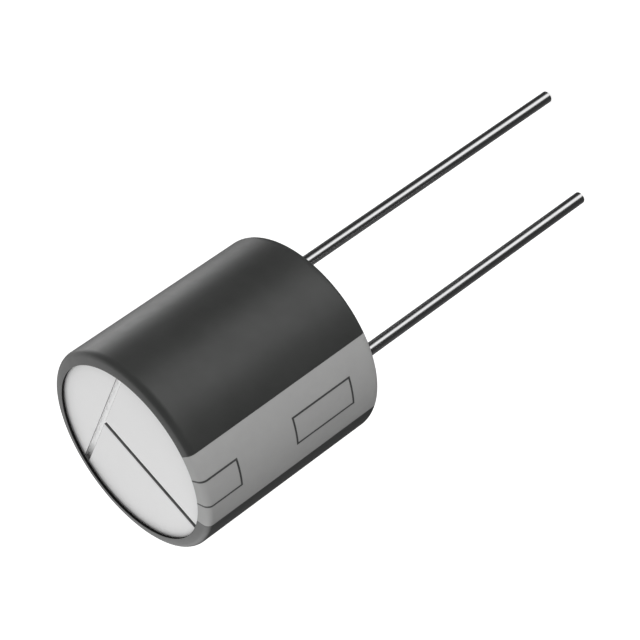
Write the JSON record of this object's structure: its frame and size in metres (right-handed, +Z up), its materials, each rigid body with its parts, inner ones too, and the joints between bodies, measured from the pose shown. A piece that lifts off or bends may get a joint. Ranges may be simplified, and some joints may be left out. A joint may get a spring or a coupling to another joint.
{
  "type": "radial electrolytic capacitor",
  "caption": "Round sleeved aluminium can with a scored vent end, a polarity stripe and two straight wire leads out of the sealed end.",
  "frame": {"origin": "middle of the seating plane, which is the sleeve's lower lip, midway between the two leads", "axes": "+Z up through the can to the vented end, so the leads run along -Z; +X from the cathode lead to the anode lead"},
  "size_m": [0.01, 0.01, 0.0295],
  "materials": {
    "can": "bright matt end face, scored",
    "sleeve": "satin heat-shrunk film",
    "stripe_ink": "satin grey ink on the film",
    "mark_ink": "satin dark ink on the film",
    "seal_rubber": "matt moulded",
    "lead_wire": "bright tin plating over steel wire",
    "tab_aluminium": "bright, pressed flat",
    "anode_foil": "matt etched and formed",
    "cathode_foil": "matt etched",
    "separator_paper": "soaked paper",
    "winding_tape": "amber film tape"
  },
  "bodies": {
    "root": {"can": "can", "sleeve": "sleeve", "polarity_stripe": "stripe_ink", "minus_marks": "mark_ink", "rubber_seal": "seal_rubber", "anode_lead": "lead_wire", "cathode_lead": "lead_wire", "anode_tab": "tab_aluminium", "cathode_tab": "tab_aluminium", "anode_foil": "anode_foil", "inner_separator": "separator_paper", "cathode_foil": "cathode_foil", "outer_separator": "separator_paper", "winding_tape": "winding_tape"}
  },
  "joints": []
}
